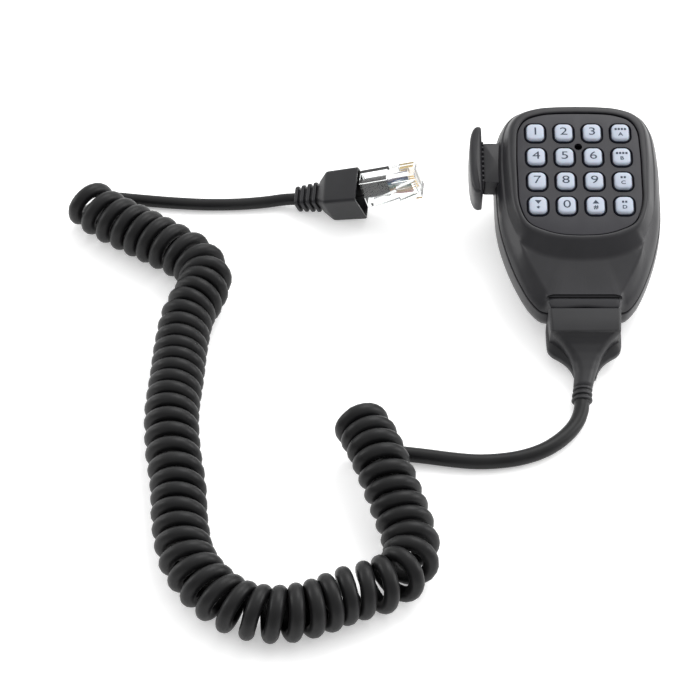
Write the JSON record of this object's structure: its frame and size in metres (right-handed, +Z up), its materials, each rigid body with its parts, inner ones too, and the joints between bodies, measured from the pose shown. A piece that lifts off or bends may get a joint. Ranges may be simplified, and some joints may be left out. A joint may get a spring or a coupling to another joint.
{
  "type": "hand microphone",
  "caption": "Hand microphone for a mobile radio: keypad face, side talk bar, curly cord and modular plug.",
  "frame": {"origin": "centre of the base of the microphone's box, without its cord, on the surface it lies on", "axes": "+Y from the cord end of the microphone to its head, +X to the right as the keypad is read, +Z up"},
  "size_m": [0.2191, 0.224, 0.0444],
  "materials": {
    "shell": "fine textured charcoal",
    "panel": "satin charcoal",
    "key": "satin pale blue-white",
    "rubber": "matte black",
    "board": "green laminate",
    "metal": "nickel plated",
    "gold": "gold plated",
    "clear": "clear polycarbonate",
    "cores": "coloured core insulation"
  },
  "bodies": {
    "microphone": {"front_shell": "shell", "rear_shell": "shell", "keypad_panel": "panel", "hang_up_knob": "metal", "knob_screw": "metal", "case_screw_1": "metal", "case_screw_2": "metal", "case_screw_3": "metal", "case_screw_4": "metal", "key_mat": "rubber", "circuit_board": "board", "microphone_capsule": "metal", "capsule_boot": "rubber", "controller_chip": "panel", "cord_socket": "panel", "ptt_switch": "panel", "strain_relief": "rubber", "mic_tail": "rubber", "curly_coil": "rubber", "plug_tail": "rubber", "plug_boot": "rubber", "plug_body": "clear", "core_ribbon": "cores", "plug_contact_1": "gold", "plug_contact_2": "gold", "plug_contact_3": "gold", "plug_contact_4": "gold", "plug_contact_5": "gold", "plug_contact_6": "gold", "plug_contact_7": "gold", "plug_contact_8": "gold"},
    "key_1_button": {"key_1": "key"},
    "key_2_button": {"key_2": "key"},
    "key_3_button": {"key_3": "key"},
    "key_a_button": {"key_a": "key"},
    "key_4_button": {"key_4": "key"},
    "key_5_button": {"key_5": "key"},
    "key_6_button": {"key_6": "key"},
    "key_b_button": {"key_b": "key"},
    "key_7_button": {"key_7": "key"},
    "key_8_button": {"key_8": "key"},
    "key_9_button": {"key_9": "key"},
    "key_c_button": {"key_c": "key"},
    "key_star_button": {"key_star": "key"},
    "key_0_button": {"key_0": "key"},
    "key_hash_button": {"key_hash": "key"},
    "key_d_button": {"key_d": "key"},
    "talk_bar": {"ptt_bar": "shell", "ptt_stem": "shell"},
    "latch": {"plug_latch": "clear"}
  },
  "joints": [
    {"name": "key_1_press", "type": "slide", "parent": "microphone", "child": "key_1_button", "axis": [0, 0.2419, -0.9703], "range_m": [0, 0.0008], "stiffness_N_per_m": 800, "springref_m": -0.0004},
    {"name": "key_2_press", "type": "slide", "parent": "microphone", "child": "key_2_button", "axis": [0, 0.2419, -0.9703], "range_m": [0, 0.0008], "stiffness_N_per_m": 800, "springref_m": -0.0004},
    {"name": "key_3_press", "type": "slide", "parent": "microphone", "child": "key_3_button", "axis": [0, 0.2419, -0.9703], "range_m": [0, 0.0008], "stiffness_N_per_m": 800, "springref_m": -0.0004},
    {"name": "key_a_press", "type": "slide", "parent": "microphone", "child": "key_a_button", "axis": [0, 0.2419, -0.9703], "range_m": [0, 0.0008], "stiffness_N_per_m": 800, "springref_m": -0.0004},
    {"name": "key_4_press", "type": "slide", "parent": "microphone", "child": "key_4_button", "axis": [0, 0.2419, -0.9703], "range_m": [0, 0.0008], "stiffness_N_per_m": 800, "springref_m": -0.0004},
    {"name": "key_5_press", "type": "slide", "parent": "microphone", "child": "key_5_button", "axis": [0, 0.2419, -0.9703], "range_m": [0, 0.0008], "stiffness_N_per_m": 800, "springref_m": -0.0004},
    {"name": "key_6_press", "type": "slide", "parent": "microphone", "child": "key_6_button", "axis": [0, 0.2419, -0.9703], "range_m": [0, 0.0008], "stiffness_N_per_m": 800, "springref_m": -0.0004},
    {"name": "key_b_press", "type": "slide", "parent": "microphone", "child": "key_b_button", "axis": [0, 0.2419, -0.9703], "range_m": [0, 0.0008], "stiffness_N_per_m": 800, "springref_m": -0.0004},
    {"name": "key_7_press", "type": "slide", "parent": "microphone", "child": "key_7_button", "axis": [0, 0.2419, -0.9703], "range_m": [0, 0.0008], "stiffness_N_per_m": 800, "springref_m": -0.0004},
    {"name": "key_8_press", "type": "slide", "parent": "microphone", "child": "key_8_button", "axis": [0, 0.2419, -0.9703], "range_m": [0, 0.0008], "stiffness_N_per_m": 800, "springref_m": -0.0004},
    {"name": "key_9_press", "type": "slide", "parent": "microphone", "child": "key_9_button", "axis": [0, 0.2419, -0.9703], "range_m": [0, 0.0008], "stiffness_N_per_m": 800, "springref_m": -0.0004},
    {"name": "key_c_press", "type": "slide", "parent": "microphone", "child": "key_c_button", "axis": [0, 0.2419, -0.9703], "range_m": [0, 0.0008], "stiffness_N_per_m": 800, "springref_m": -0.0004},
    {"name": "key_star_press", "type": "slide", "parent": "microphone", "child": "key_star_button", "axis": [0, 0.2419, -0.9703], "range_m": [0, 0.0008], "stiffness_N_per_m": 800, "springref_m": -0.0004},
    {"name": "key_0_press", "type": "slide", "parent": "microphone", "child": "key_0_button", "axis": [0, 0.2419, -0.9703], "range_m": [0, 0.0008], "stiffness_N_per_m": 800, "springref_m": -0.0004},
    {"name": "key_hash_press", "type": "slide", "parent": "microphone", "child": "key_hash_button", "axis": [0, 0.2419, -0.9703], "range_m": [0, 0.0008], "stiffness_N_per_m": 800, "springref_m": -0.0004},
    {"name": "key_d_press", "type": "slide", "parent": "microphone", "child": "key_d_button", "axis": [0, 0.2419, -0.9703], "range_m": [0, 0.0008], "stiffness_N_per_m": 800, "springref_m": -0.0004},
    {"name": "talk_press", "type": "slide", "parent": "microphone", "child": "talk_bar", "axis": [1, 0, 0], "range_m": [0, 0.0018], "stiffness_N_per_m": 1200, "springref_m": -0.0006},
    {"name": "latch_press", "type": "hinge", "parent": "microphone", "child": "latch", "pos_m": [-0.05582, 0.03554, 0.0187], "axis": [0.301, -0.0964, -0.9487], "range_deg": [0, 10], "stiffness_Nm_per_rad": 0.12, "springref_deg": -1.72}
  ]
}
